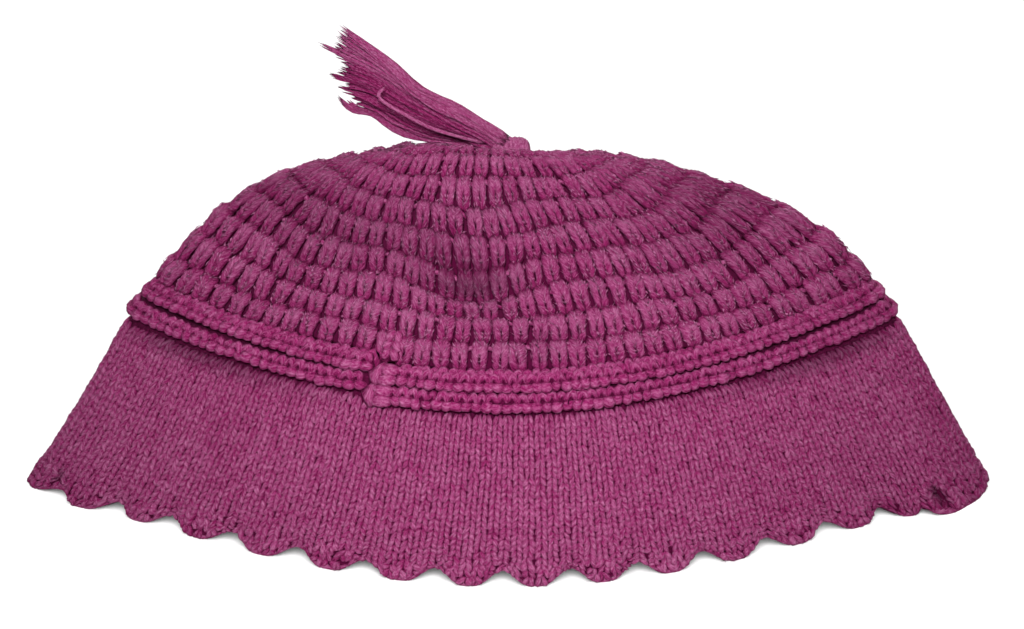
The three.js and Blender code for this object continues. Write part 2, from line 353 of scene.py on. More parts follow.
# Across a face lies x, along it y, and over it z
OVER_FACE = (0, 0, 1)
# Each length of yarn takes its fibres from another place of their pattern, within this range
LAY_RANGE = 400
# Stray hairs: their slant and its spread, the ranges of their reach and rise, and their painted highlight, a
# negative shade
HAIR_SLANT = (0.5, 0.5)
HAIR_REACH = (0.3, 0.7)
HAIR_RISE = (0.2, 1.0)
HAIR_SIDES = 3
HAIR_SHADE = -0.55


class Yarn(NamedTuple):
    """A closed length of yarn: its mesh, how its fibres lie and the painted shade that darkens each point."""
    points: np.ndarray
    faces: np.ndarray
    lay: np.ndarray
    shade: np.ndarray


def joined(yarns):
    """Several lengths of yarn as one."""
    starts = np.cumsum([0] + [len(yarn.points) for yarn in yarns[:-1]])
    faces = [yarn.faces + start for yarn, start in zip(yarns, starts)]
    return Yarn(np.vstack([yarn.points for yarn in yarns]), np.vstack(faces),
                np.vstack([yarn.lay for yarn in yarns]), np.concatenate([yarn.shade for yarn in yarns]))


def tube(spine, radii, sides, over, twist=0.0, shade=0.0):
    """A closed tube with a pole at both ends, whose fibres run along it with a twist.

    Its painted shade is one value, or one for each point of its spine.
    """
    spine = np.array(spine, float)
    radii = np.array(radii, float)
    runs = np.gradient(spine, axis=0)
    runs /= np.linalg.norm(runs, axis=1, keepdims=True)
    aside = np.cross(runs, over)
    aside /= np.linalg.norm(aside, axis=1, keepdims=True)
    upright = np.cross(aside, runs)
    angles = 2 * math.pi * np.arange(sides) / sides
    inner = slice(1, len(spine) - 1)
    reach = (np.cos(angles)[None, :, None] * aside[inner, None]
             + np.sin(angles)[None, :, None] * upright[inner, None])
    rings = spine[inner, None] + radii[inner, None, None] * reach
    count = len(spine) - 2
    points = np.vstack([rings.reshape(-1, 3), spine[:1], spine[-1:]])
    first, last = count * sides, count * sides + 1
    faces = []
    for side in range(sides):
        after = (side + 1) % sides
        faces.append((after, side, first))
        faces.append(((count - 1) * sides + side, (count - 1) * sides + after, last))
        for ring in range(count - 1):
            low, high = ring * sides, (ring + 1) * sides
            faces.append((low + side, low + after, high + after))
            faces.append((low + side, high + after, high + side))
    lengths = np.concatenate([[0.0], np.cumsum(np.linalg.norm(np.diff(spine, axis=0), axis=1))])
    lay = np.zeros((len(points), 3))
    turned = angles[None, :] + twist * lengths[inner, None]
    lay[:-2, 0] = np.repeat(lengths[inner], sides)
    lay[:-2, 1] = (radii[inner, None] * np.cos(turned)).ravel()
    lay[:-2, 2] = (radii[inner, None] * np.sin(turned)).ravel()
    lay[-1, 0] = lengths[-1]
    shade = np.broadcast_to(shade, len(spine))
    shade = np.concatenate([np.repeat(shade[inner], sides), shade[:1], shade[-1:]])
    return Yarn(points, facing_out(points, np.array(faces)), lay, shade)


def facing_out(points, faces):
    """The faces, turned over if they face into the form."""
    corners = (points - points.mean(axis=0))[faces]
    volume = np.einsum("ij,ij->i", corners[:, 0], np.cross(corners[:, 1], corners[:, 2])).sum()
    return faces if volume > 0 else faces[:, ::-1]


def mirrored(spine):
    """A spine mirrored from side to side."""
    return tuple((-x, y, z) for x, y, z in spine)


def pair_of_legs(spine, radii, sides, twist, shade=0.0):
    """A stitch: two legs, each the mirror of the other."""
    return joined([tube(spine, radii, sides, OVER_FACE, twist, shade),
                   tube(mirrored(spine), radii, sides, OVER_FACE, -twist, shade)])


def with_fuzz(yarn, hairs, length, thickness, lift):
    """The yarn with short stray hairs that lie along its fibres, on the side that shows."""
    shown = np.flatnonzero(yarn.points[:, 2] > np.median(yarn.points[:, 2]))
    parts = [yarn]
    for root in yarn.points[random.choice(shown, hairs)]:
        along = np.array([-np.sign(root[0]) * random.normal(*HAIR_SLANT), -1.0, 0.0])
        half = along / np.linalg.norm(along) * length * random.uniform(*HAIR_REACH)
        raised = np.array([0.0, 0.0, lift * random.uniform(*HAIR_RISE)])
        spine = (root - half, root + raised, root + half + raised * random.uniform(0, 1))
        parts.append(tube(spine, (0.0, thickness, 0.0), HAIR_SIDES, OVER_FACE, 0.0, HAIR_SHADE))
    return joined(parts)


class Mesh:
    """Collects closed meshes into one piece, with the lay of the yarn and a tone for each stitch."""

    def __init__(self):
        self.points, self.faces, self.lay = [], [], []
        self.tone, self.deep, self.light = [], [], []
        self.count = 0

    def add(self, points, faces, lay, tone, deep=0.0, light=1.0):
        self.points.append(points)
        self.faces.append(faces + self.count)
        self.lay.append(lay)
        self.tone.append(np.broadcast_to(tone, len(points)))
        self.deep.append(np.broadcast_to(deep, len(points)))
        self.light.append(np.broadcast_to(light, len(points)))
        self.count += len(points)

    def knit(self, yarn, place, across, along, pitch, height, looseness, lumps=0.05, flat=1.0, shadow=None):
        """Adds one length of yarn at each place of a face, each a little different.

        The yarn is in millimetres: x across, y along and z over the face. A millimetre across the face is a
        share of its pitch, which may differ from stitch to stitch, and one along it a share of its height.
        Flat stitches stand less high over the face. The shadow gives the share of the light lost at a place,
        painted into the colour.
        """
        many = len(across)
        pitch = np.reshape(pitch, (-1, 1))
        vary = random.normal(0.0, 1.0, (7, many, 1)) * np.reshape(looseness, (-1, 1))
        lean, wide, tall, proud, thick, stray_x, stray_y = vary
        x, y, z = yarn.points.T
        us = across[:, None] + (x * (1 + wide) + lean * y + stray_x) / pitch
        vs = along[:, None] + (y * (1 + tall / 2) + stray_y) / height
        hs = z * flat * (1 + thick) + proud + random.normal(0, lumps, us.shape)
        us += random.normal(0, lumps, us.shape) / pitch
        # Painted shade: the deeper a point lies in its stitch, towards the crevices, the darker it is painted
        deep = np.clip((z.max() * flat - hs) / (flat * (z.max() - z.min())), 0, 1) + yarn.shade
        light = 1.0 if shadow is None else 1 - shadow(us.ravel(), vs.ravel())
        points = above(place, us.ravel(), vs.ravel(), hs.ravel(), SLOPE_ACROSS / pitch.mean())
        faces = yarn.faces[None] + np.arange(many)[:, None, None] * len(x)
        lay = yarn.lay[None] + random.uniform(0, LAY_RANGE, (many, 1, 3))
        tone = np.repeat(random.uniform(-1, 1, many), len(x))
        self.add(points, faces.reshape(-1, 3), lay.reshape(-1, 3), tone, deep.ravel(), light)

    def piece(self, name, node, slot, material):
        """Makes the Blender object, which rides on the hat and stands for one of its solids."""
        points = np.concatenate(self.points) * MM
        faces = np.concatenate(self.faces)
        mesh = bpy.data.meshes.new(name)
        mesh.vertices.add(len(points))
        mesh.vertices.foreach_set("co", points.astype(np.float32).ravel())
        mesh.loops.add(faces.size)
        mesh.loops.foreach_set("vertex_index", faces.astype(np.int32).ravel())
        mesh.polygons.add(len(faces))
        mesh.polygons.foreach_set("loop_start", np.arange(0, faces.size, 3, dtype=np.int32))
        mesh.update(calc_edges=True)
        mesh.shade_smooth()
        lay = mesh.attributes.new("lay", "FLOAT_VECTOR", "POINT")
        lay.data.foreach_set("vector", np.concatenate(self.lay).astype(np.float32).ravel())
        for label, values in (("tone", self.tone), ("deep", self.deep), ("light", self.light)):
            attribute = mesh.attributes.new(label, "FLOAT", "POINT")
            attribute.data.foreach_set("value", np.concatenate(values).astype(np.float32))
        mesh.materials.append(material)
        thing = bpy.data.objects.new(name, mesh)
        bpy.context.scene.collection.objects.link(thing)
        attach(thing, "root")
        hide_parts(node)
        return thing


def skin_rings(rings, poles=None):
    """Points and faces of a skin over rings of equal length. It closes on itself, or ends in two poles."""
    count = len(rings[0])
    points = np.concatenate(rings)
    steps = np.arange(count)
    after = (steps + 1) % count
    faces = []
    bands = len(rings) if poles is None else len(rings) - 1
    for band in range(bands):
        low = band * count
        high = (band + 1) % len(rings) * count
        faces.append(np.stack([low + steps, low + after, high + after], axis=1))
        faces.append(np.stack([low + steps, high + after, high + steps], axis=1))
    if poles is not None:
        top = (len(rings) - 1) * count
        points = np.vstack([points, poles])
        first = np.full(count, len(points) - 2)
        faces.append(np.stack([after, steps, first], axis=1))
        faces.append(np.stack([top + steps, top + after, first + 1], axis=1))
    return points, np.concatenate(faces)


# Materials

# Columns: tone, colour. The darkest colours come mostly through painted shade, the lightest through the
# hairs' painted highlight
YARN_COLOURS = (
    (0.22, (0.050, 0.001, 0.018)),
    (0.36, (0.136, 0.006, 0.052)),
    (0.47, (0.178, 0.025, 0.089)),
    (0.57, (0.230, 0.059, 0.135)),
    (0.78, (0.330, 0.110, 0.215)),
)
# What the tone is made of besides the fibres: stitch tones, a cloud, and painted shade in the crevices
STITCH_WEIGHT = 0.02
CLOUD_WEIGHT = 0.06
PAINTED_SHADE_WEIGHT = -0.34


def link_node(tree, kind, settings=None, **inputs):
    """Adds a node with its settings, and sets or links its inputs."""
    node = tree.nodes.new(kind)
    for name, value in (settings or {}).items():
        setattr(node, name, value)
    for name, value in inputs.items():
        socket = node.inputs[name.replace("_", " ")]
        if isinstance(value, bpy.types.NodeSocket):
            tree.links.new(value, socket)
        else:
            socket.default_value = value
    return node


def weighed_sum(tree, value, weight, rest):
    """A node output: the value times a weight, plus the rest."""
    node = tree.nodes.new("ShaderNodeMath")
    node.operation = "MULTIPLY_ADD"
    tree.links.new(value, node.inputs[0])
    node.inputs[1].default_value = weight
    tree.links.new(rest, node.inputs[2])
    return node.outputs[0]


def yarn_material(name):
    """Matte wool-like yarn: fibres along each stitch, tones from stitch to stitch, and painted shade, rich
    dark in the crevices.
    """
    material = bpy.data.materials.new(name)
    material.use_nodes = True
    tree = material.node_tree
    shader = tree.nodes["Principled BSDF"]
    shader.inputs["Sheen Weight"].default_value = 0.025
    shader.inputs["Sheen Roughness"].default_value = 0.5
    shader.inputs["Sheen Tint"].default_value = (0.75, 0.3, 0.55, 1.0)
    shader.inputs["Specular IOR Level"].default_value = 0.03
    lay = link_node(tree, "ShaderNodeAttribute", {"attribute_name": "lay"})
    tone = link_node(tree, "ShaderNodeAttribute", {"attribute_name": "tone"})
    deep = link_node(tree, "ShaderNodeAttribute", {"attribute_name": "deep"})
    along = link_node(tree, "ShaderNodeMapping", Vector=lay.outputs["Vector"], Scale=(1.0, 2.3, 2.3))
    fibres = link_node(tree, "ShaderNodeTexNoise", Vector=along.outputs["Vector"], Scale=1.0, Detail=4.0,
                       Roughness=0.75, Distortion=0.5)
    where = link_node(tree, "ShaderNodeTexCoord")
    cloud = link_node(tree, "ShaderNodeTexNoise", Vector=where.outputs["Object"], Scale=45.0, Detail=2.0)
    shade = weighed_sum(tree, tone.outputs["Fac"], STITCH_WEIGHT, fibres.outputs["Fac"])
    shade = weighed_sum(tree, cloud.outputs["Fac"], CLOUD_WEIGHT, shade)
    shade = weighed_sum(tree, deep.outputs["Fac"], PAINTED_SHADE_WEIGHT, shade)
    ramp = link_node(tree, "ShaderNodeValToRGB", Fac=shade)
    stops = ramp.color_ramp.elements
    for position, colour in YARN_COLOURS:
        stops.new(position).color = (*colour, 1.0)
    stops.remove(stops[-1])
    stops.remove(stops[0])
    # Painted shadow: the colour is scaled by the light attribute, the share of the light kept where shadows
    # are painted
    light = link_node(tree, "ShaderNodeAttribute", {"attribute_name": "light"})
    colour = link_node(tree, "ShaderNodeVectorMath", {"operation": "SCALE"}, Vector=ramp.outputs["Color"],
                       Scale=light.outputs["Fac"])
    tree.links.new(colour.outputs["Vector"], shader.inputs["Base Color"])
    rough = link_node(tree, "ShaderNodeMapRange", Value=fibres.outputs["Fac"], To_Min=0.98, To_Max=0.82)
    tree.links.new(rough.outputs["Result"], shader.inputs["Roughness"])
    fuzz = link_node(tree, "ShaderNodeBump", Height=fibres.outputs["Fac"], Strength=1.0, Distance=0.0008)
    tree.links.new(fuzz.outputs["Normal"], shader.inputs["Normal"])
    return material


brim_yarn = yarn_material("brim_yarn")
welt_yarn = yarn_material("welt_yarn")
crown_yarn = yarn_material("crown_yarn")
tassel_yarn = yarn_material("tassel_yarn")


# The brim: each stitch is two legs that meet at its top

FIRST_BRIM_ROW = 0.4
LAST_BRIM_ROW = 26.0
BRIM_PITCH = 2.95
BRIM_ROW = 1.68
BRIM_LEG = (
    (0.28, 2.55, -0.70),
    (0.46, 1.95, -0.10),
    (0.72, 1.10, 0.05),
    (1.00, 0.20, -0.05),
    (1.14, -0.45, -0.65),
)
BRIM_LEG_RADII = (0.0, 0.66, 0.80, 0.72, 0.0)
# Painted shade at the ends of each leg, where it dives under the neighbouring stitches
BRIM_LEG_SHADES = (0.5, 0.1, 0.0, 0.0, 0.4)
BRIM_TWIST = 0.5
BRIM_LEG_SIDES = 6
EVEN_LOOSENESS = 0.065
EDGE_LOOSENESS = 0.20
EDGE_ROWS = (1.0, 4.0)


def make_brim():
    front, back = Mesh(), Mesh()
    rows = np.linspace(FIRST_BRIM_ROW, LAST_BRIM_ROW, BRIM_ROWS - 1)
    wale, row = np.meshgrid(np.arange(WALES) + 0.5, rows, indexing="ij")
    wale, row = wale.ravel(), row.ravel()
    seen = wale < WALES / 2
    loose = np.interp(row, EDGE_ROWS, (EDGE_LOOSENESS, EVEN_LOOSENESS))
    stitch = pair_of_legs(BRIM_LEG, BRIM_LEG_RADII, BRIM_LEG_SIDES, -BRIM_TWIST, BRIM_LEG_SHADES)
    for mesh, chosen in ((front, seen), (back, ~seen)):
        mesh.knit(stitch, brim_place, wale[chosen], row[chosen], BRIM_PITCH, BRIM_ROW, loose[chosen],
                  shadow=brim_shadow)
    front.piece("brim_stitches_front", "brim", "brim_knit", brim_yarn)
    back.piece("brim_stitches_back", "brim", "brim_knit", brim_yarn)
    make_hem()
    make_brim_wall()


HEM_ROLL = ((-2.4, 0.0, -0.9), (-1.2, 0.0, -0.75), (0.0, 0.1, -0.7), (1.2, 0.0, -0.75), (2.4, 0.0, -0.9))
HEM_ROLL_RADII = (0.0, 0.70, 0.78, 0.70, 0.0)
HEM_SIDES = 8
HEM_ROW = 0.45
HEM_LOOSENESS = 0.06


def make_hem():
    """The soft roll that closes the edge behind the last stitches."""
    hem = Mesh()
    roll = tube(HEM_ROLL, HEM_ROLL_RADII, HEM_SIDES, OVER_FACE)
    hem.knit(roll, brim_place, np.arange(WALES) + 0.5, np.full(WALES, HEM_ROW), BRIM_PITCH, BRIM_ROW,
             HEM_LOOSENESS)
    hem.piece("brim_hem", "brim", "brim_knit", brim_yarn)


BRIM_WALL_ROWS = (0.3, 0.9, 2, 3, 4, 5, 6, 8, 11, 15, 19, 23, 26, BRIM_ROWS)
BRIM_BED = 0.6
# The walls behind the stitches show only in the gaps, so they are painted dark: the darkest tone and painted
# shade
WALL_SHADE_TONE = -1.0
WALL_PAINTED_SHADE = 1.0


def make_brim_wall():
    """The wall behind the stitches."""
    wale = np.arange(2 * WALES) / 2
    rings, lay = [], []
    for outward, heights in ((-BRIM_BED, BRIM_WALL_ROWS), (-BRIM_WALL, BRIM_WALL_ROWS[::-1])):
        for height in heights:
            row = np.full(len(wale), float(height))
            rings.append(brim_place(wale, row, outward))
            lay.append(np.stack([row * BRIM_ROW, wale * BRIM_PITCH, np.full(len(wale), outward)], axis=1))
    points, faces = skin_rings(rings)
    wall = Mesh()
    wall.add(points, faces, np.concatenate(lay), WALL_SHADE_TONE, WALL_PAINTED_SHADE)
    wall.piece("brim_wall", "brim", "brim_knit", brim_yarn)


# The welts: rolls of purl stitches

WELT_PITCH = 2.75
# Painted shade that darkens all the welts' stitches, against the extra light they catch as they bulge out
WELT_SHADE = 0.15
WELT_RADIUS = 2.4
WELT_SIDES = 8
WELT_LOOSENESS = 0.10
WELT_LUMPS = 0.09
# The wall behind a welt's stitches: angles round it, how deep its face and back lie, how far it hangs down
WELT_ROLL = np.radians([-60, -40, -20, 0, 20, 40, 60])
WELT_BED = 0.1
WELT_WALL = 3.2
WELT_FOOT = 1.8
WELT_ARC = ((-1.6, -1.4, -0.5), (-1.3, -0.8, 0.0), (-0.75, 0.2, 0.25), (0.0, 0.55, 0.3), (0.75, 0.2, 0.25),
            (1.3, -0.8, 0.0), (1.6, -1.4, -0.5))
WELT_ARC_RADII = (0.0, 0.82, 0.92, 0.98, 0.92, 0.82, 0.0)
WELT_KNOB = ((-1.45, 0.3, -0.6), (-1.05, 0.15, 0.05), (-0.5, 0.0, 0.2), (0.0, -0.05, 0.22), (0.5, 0.0, 0.2),
             (1.05, 0.15, 0.05), (1.45, 0.3, -0.6))
WELT_KNOB_RADII = (0.0, 1.12, 1.34, 1.38, 1.34, 1.12, 0.0)
# Columns: angle round the roll, spine, radii, shift in wales
UPPER_WELT_ROWS = (
    (0.98, WELT_ARC, WELT_ARC_RADII, 0.5),
    (0.52, WELT_ARC, WELT_ARC_RADII, 0.0),
    (-0.42, WELT_KNOB, WELT_KNOB_RADII, 0.5),
)
LOWER_WELT_ROWS = (
    (0.63, WELT_ARC, WELT_ARC_RADII, 0.0),
    (-0.33, WELT_KNOB, WELT_KNOB_RADII, 0.5),
)
# Beside the front the rolls are drawn together: turn, half width, share of the angle lost
WELT_SQUEEZE = (0.95, 0.42, 0.3)

# The nub of smooth strands where a welt starts: one wraps its end and two run on along it
NUB_WRAP = ((1.3, 3.5, -1.4), (0.5, 2.7, -0.2), (0.0, 1.3, 0.5), (-0.2, -0.4, 0.6), (0.0, -2.0, 0.3),
            (0.7, -3.1, -0.5), (1.4, -3.7, -1.4))
NUB_WRAP_RADII = (0.0, 1.15, 1.50, 1.65, 1.55, 1.20, 0.0)
NUB_UPPER = ((0.6, 1.3, -0.5), (1.4, 1.4, 0.3), (3.0, 1.2, 0.4), (4.8, 1.2, 0.1), (6.2, 1.1, -0.6))
NUB_LOWER = ((0.6, -1.1, -0.5), (1.5, -1.1, 0.4), (3.2, -1.0, 0.5), (5.2, -1.1, 0.1), (6.4, -1.1, -0.6))
NUB_STRAND_RADII = (0.0, 1.45, 1.60, 1.35, 0.0)
NUB_WRAP_SIDES = 12
NUB_STRAND_SIDES = 10
NUB_LOOSENESS = 0.02
NUB_WALE = SEAM_WALE + 0.7
# How many wales the nub and the hollow before it take up
NUB_WALES = 2.6
HOLLOW_WALES = 0.5


def make_welt(name, base, rows):
    place = welt_place(base)
    welt = Mesh()
    wale = np.arange(2 * WALES) / 2
    rings = [place(wale, np.full(len(wale), angle), -WELT_BED) for angle in WELT_ROLL]
    rings.append(place(wale, np.full(len(wale), WELT_ROLL[-1]), -WELT_WALL))
    rings.append(place(wale, np.full(len(wale), WELT_ROLL[0]), -WELT_WALL) - (0.0, 0.0, WELT_FOOT))
    points, faces = skin_rings(rings)
    welt.add(points, faces, points, WALL_SHADE_TONE, WALL_PAINTED_SHADE)
    squeezed, half_width, lost = WELT_SQUEEZE
    for angle, spine, radii, shift in rows:
        bump = tube(spine, radii, WELT_SIDES, OVER_FACE, 0.0, WELT_SHADE)
        wales = np.arange(WALES) + shift
        wales = wales[(wales < SEAM_WALE - HOLLOW_WALES) | (wales > SEAM_WALE + NUB_WALES)]
        angles = angle * (1 - lost * hump(np.abs(turn_at(wales / WALES)), squeezed, half_width))
        welt.knit(bump, place, wales, angles, WELT_PITCH, WELT_RADIUS, WELT_LOOSENESS, WELT_LUMPS)
    nub = joined([tube(NUB_WRAP, NUB_WRAP_RADII, NUB_WRAP_SIDES, OVER_FACE),
                  tube(NUB_UPPER, NUB_STRAND_RADII, NUB_STRAND_SIDES, OVER_FACE),
                  tube(NUB_LOWER, NUB_STRAND_RADII, NUB_STRAND_SIDES, OVER_FACE)])
    welt.knit(nub, place, np.array([NUB_WALE]), np.zeros(1), WELT_PITCH, WELT_RADIUS, NUB_LOOSENESS)
    welt.piece(name + "_knit", name, "welt_knit", welt_yarn)


# The crown: each puffy stitch is two fat legs under a cap, and a small loop bridges it to the next

CROWN_PITCH = 4.7
CROWN_ROW = 7.8
CROWN_LEG = (
    (0.76, 8.5, -2.2),
    (0.82, 7.6, -0.6),
    (0.90, 6.4, 0.05),
    (0.98, 5.0, 0.20),
    (1.06, 3.7, 0.15),
    (1.06, 2.5, 0.0),
    (0.94, 1.4, -0.2),
    (0.72, 0.4, -0.7),
    (0.50, -0.7, -1.8),
)
CROWN_LEG_RADII = (0.0, 1.15, 1.38, 1.28, 1.02, 0.90, 0.96, 0.94, 0.0)
# Painted shade at both ends of each leg, where it dives under the neighbouring rows
CROWN_LEG_SHADES = (0.35, 0.1, 0.0, 0.0, 0.0, 0.0, 0.05, 0.15, 0.3)
# The cap that closes the upper half of the slit between the legs
CROWN_CAP = ((0.0, 8.2, -1.2), (0.05, 7.1, 0.30), (-0.05, 5.8, 0.72), (0.05, 4.6, 0.60), (0.0, 3.5, -0.4))
CROWN_CAP_RADII = (0.0, 0.62, 0.74, 0.66, 0.0)
CROWN_LOOP = ((-1.3, 5.3, -1.5), (-0.8, 6.0, -0.6), (0.0, 6.3, -0.2), (0.8, 6.0, -0.6), (1.3, 5.3, -1.5))
CROWN_LOOP_RADII = (0.0, 0.58, 0.66, 0.58, 0.0)
CROWN_LEG_SIDES = 10
CROWN_CAP_SIDES = 6
CROWN_LOOP_SIDES = 6
CROWN_TWIST = 0.55
FEWEST_STITCHES = 6
# How many kinds of fuzz there are, and how many hairs each has, with their length, thickness and lift
FUZZ_KINDS = 6
CROWN_HAIRS = 34
HAIR_LENGTH = 1.8
HAIR_THICKNESS = 0.13
HAIR_LIFT = 0.28
# How unevenly the stitches sit in their row, and how much they differ in form
CROWN_JITTER = 0.025
CROWN_LOOSENESS = 0.05
CROWN_LUMPS = 0.12
# The upper rows, from the first to the second of these, get flatter
FLAT_ROWS = (5, 9)
FLAT_HEIGHT = 0.78
# Towards the folds the stitches are slimmer, with wider gaps: how far aside, share of the pitch
SLIM_ASIDE = (0.5, 0.8, 0.98)
SLIM_PITCHES = (1.0, 1.12, 1.0)
# A column of smooth stitches rises beside the seam. They are like the brim's, but larger.
COLUMN_WALE = SEAM_WALE + 1.6
COLUMN_SHARE = share_at(turn_at(COLUMN_WALE / WALES), CROWN_LENGTHS)
COLUMN_ROWS = (0.06, 0.40, 0.74)
COLUMN_SIZE = 1.45
COLUMN_LIFT = 1.0
COLUMN_SIDES = 8
COLUMN_LOOSENESS = 0.03


def crown_counts():
    """How many stitches each row holds."""
    rows = np.arange(CROWN_ROWS)
    widths = level_at(CROWN_LEVELS, rows + 0.5)[0]
    pitches = np.interp(rows, *zip(*CROWN_PITCHES))
    counts = np.round(CROWN_LENGTHS[-1] * widths / BRIM_LEVELS[0, 1] / pitches).astype(int)
    return np.maximum(counts, FEWEST_STITCHES)


def make_crown():
    front, back = Mesh(), Mesh()
    legs = pair_of_legs(CROWN_LEG, CROWN_LEG_RADII, CROWN_LEG_SIDES, CROWN_TWIST, CROWN_LEG_SHADES)
    plain = joined([legs, tube(CROWN_CAP, CROWN_CAP_RADII, CROWN_CAP_SIDES, OVER_FACE)])
    stitches = []
    for _ in range(FUZZ_KINDS):
        stitches.append(with_fuzz(plain, CROWN_HAIRS, HAIR_LENGTH, HAIR_THICKNESS, HAIR_LIFT))
    loop = tube(CROWN_LOOP, CROWN_LOOP_RADII, CROWN_LOOP_SIDES, OVER_FACE)
    for row, count in enumerate(crown_counts()):
        share = (np.arange(count) + random.uniform(0, 1) + random.normal(0, CROWN_JITTER, count)) / count
        at = np.full(count, float(row))
        seen = np.mod(share, 1) < 0.5
        aside = np.abs(np.sin(turn_at(share, CROWN_LENGTHS)))
        pitch = CROWN_PITCH * count * np.interp(aside, SLIM_ASIDE, SLIM_PITCHES)
        flat = np.interp(row, FLAT_ROWS, (1.0, FLAT_HEIGHT))
        kind = random.integers(0, FUZZ_KINDS, count)
        for mesh, chosen in ((front, seen), (back, ~seen)):
            for index, stitch in enumerate(stitches):
                one = chosen & (kind == index)
                mesh.knit(stitch, crown_place, share[one], at[one], pitch[one], CROWN_ROW, CROWN_LOOSENESS,
                          CROWN_LUMPS, flat, crown_shadow)
            bridges = share[chosen] + 0.5 / count
            mesh.knit(loop, crown_place, bridges, at[chosen], pitch[chosen], CROWN_ROW, CROWN_LOOSENESS)
    leg = tuple((COLUMN_SIZE * x, COLUMN_SIZE * y, COLUMN_SIZE * z + COLUMN_LIFT) for x, y, z in BRIM_LEG)
    column = pair_of_legs(leg, COLUMN_SIZE * np.array(BRIM_LEG_RADII), COLUMN_SIDES, -BRIM_TWIST)
    rows = np.array(COLUMN_ROWS)
    front.knit(column, crown_place, np.full(len(rows), COLUMN_SHARE), rows, CROWN_PITCH * crown_counts()[0],
               CROWN_ROW, COLUMN_LOOSENESS)
    front.piece("crown_stitches_front", "crown", "crown_knit", crown_yarn)
    back.piece("crown_stitches_back", "crown", "crown_knit", crown_yarn)
    make_crown_wall()


# The wall behind the stitches: points round it, rows of its inside, steps of its face in rows, how deep its
# face lies, how far it hangs down and how much painted shade darkens it
CROWN_WALL_STEPS = 256
CROWN_INNER_ROWS = (10, 8, 6, 4, 3, 2, 1, 0)
CROWN_FACE_STEP = 0.5
CROWN_BED = 2.6
CROWN_FOOT = 2.0
CROWN_WALL_PAINTED_SHADE = 1.6


def make_crown_wall():
    """The wall behind the crown's stitches, which comes down its inside and goes up its face."""
    share = np.arange(CROWN_WALL_STEPS) / CROWN_WALL_STEPS
    rings = []
    for row in CROWN_INNER_ROWS:
        up = row / CROWN_ROWS
        ring = crown_place(share, np.full(len(share), float(row)), -CROWN_WALL * (1 - up / 2))
        ring[:, 2] -= CROWN_WALL * math.sqrt(up)
        rings.append(ring)
    foot = np.array([0.0, 0.0, CROWN_FOOT])
    rings.append(rings[-1] - foot)
    rings.append(crown_place(share, np.zeros(len(share)), -CROWN_BED) - foot)
    for row in np.arange(0, CROWN_ROWS, CROWN_FACE_STEP):
        ring = crown_place(share, np.full(len(share), row), -CROWN_BED * (1 - row / (2 * CROWN_ROWS)))
        ring[:, 2] -= CROWN_BED * math.sqrt(row / CROWN_ROWS)
        rings.append(ring)
    apex = point_on(level_at(CROWN_LEVELS, np.array([CROWN_ROWS])), np.zeros(1), 0.0)
    points, faces = skin_rings(rings, np.vstack([apex - (0, 0, CROWN_WALL), apex - (0, 0, CROWN_BED)]))
    wall = Mesh()
    wall.add(points, faces, points, WALL_SHADE_TONE, CROWN_WALL_PAINTED_SHADE)
    wall.piece("crown_wall", "crown", "crown_knit", crown_yarn)


# The tassel: a fan of strands between an upper, a middle and a lower guide, from the knot to the tips

KNOT = np.array([1.7, 0.0, 99.7])
# Each guide gives x, y and z of the strands on their way
TASSEL_GUIDES = np.array([
    [(0.0, 0.0, 101.0), (-12.9, -3.0, 110.3), (-23.9, -5.0, 117.2), (-33.0, -6.5, 126.0),
     (-45.9, -7.0, 136.4)],
    [(-1.4, 0.5, 99.8), (-13.7, -1.0, 107.0), (-26.1, -1.5, 114.2), (-37.1, -1.0, 120.8),
     (-49.5, 0.0, 125.6)],
    [(-3.3, 1.5, 98.7), (-16.5, 5.0, 99.6), (-28.0, 8.0, 101.2), (-37.4, 9.5, 105.6),
     (-43.4, 10.0, 106.8)],
])
# Columns: place in the fan from top to bottom, how far the lock reaches, how far its tip curls up
TASSEL_LOCKS = (
    (0.01, 1.00, 0.0), (0.07, 0.99, 0.0), (0.13, 1.00, 0.0), (0.19, 0.99, 0.0), (0.26, 0.98, 0.0),
    (0.33, 0.98, 0.0), (0.39, 1.07, 0.0), (0.45, 0.97, 0.0), (0.52, 0.945, 0.0), (0.58, 0.95, 0.0),
    (0.64, 0.98, 0.0), (0.69, 1.05, 0.0), (0.75, 0.96, 0.0), (0.80, 1.04, 0.0), (0.86, 0.96, 0.0),
    (0.92, 0.94, 0.0), (0.99, 1.15, 2.2),
)
CURL_SHARE = 0.8
# The strands of a lock, which draw together towards its tip
STRANDS_PER_LOCK = 15
STRAND_STEPS = 18
STRAND_SIDES = 6
STRAND_OVER = (0, 1, 0.2)
STRAND_RADIUS = (0.42, 0.60)
# Columns: share of the way, share of the radius
STRAND_TAPER = ((0, 1.0), (0.8, 1.0), (1, 0.35))
LOCK_CLUMPING = 0.8
# How far the strands stray in the fan, in reach, and at their middle, tip and root along x, y and z
FAN_SPREAD = 0.02
REACH_SPREAD = 0.035
MIDDLE_POWER = 0.8
MIDDLE_SPREAD = (0.2, 1.4, 0.3)
TIP_SPREAD = (0.2, 1.0, 0.25)
ROOT_SPREAD = (0.5, 1.2, 0.6)
# How high a lock and a strand wave, and how often
LOCK_WAVE = 0.45
LOCK_WAVES = (1.0, 1.8)
STRAND_WAVE = 0.32
STRAND_WAVES = (1.5, 3.2)
# The core that fills a lock
CORE_RADIUS = 1.1
CORE_REACH = 0.93
# Columns: share of the way, share of the radius
CORE_TAPER = ((0, 1.0), (0.75, 1.0), (1, 0.3))
CORE_SIDES = 8
# Painted shade on the core, which lies inside the lock
CORE_PAINTED_SHADE = 0.3
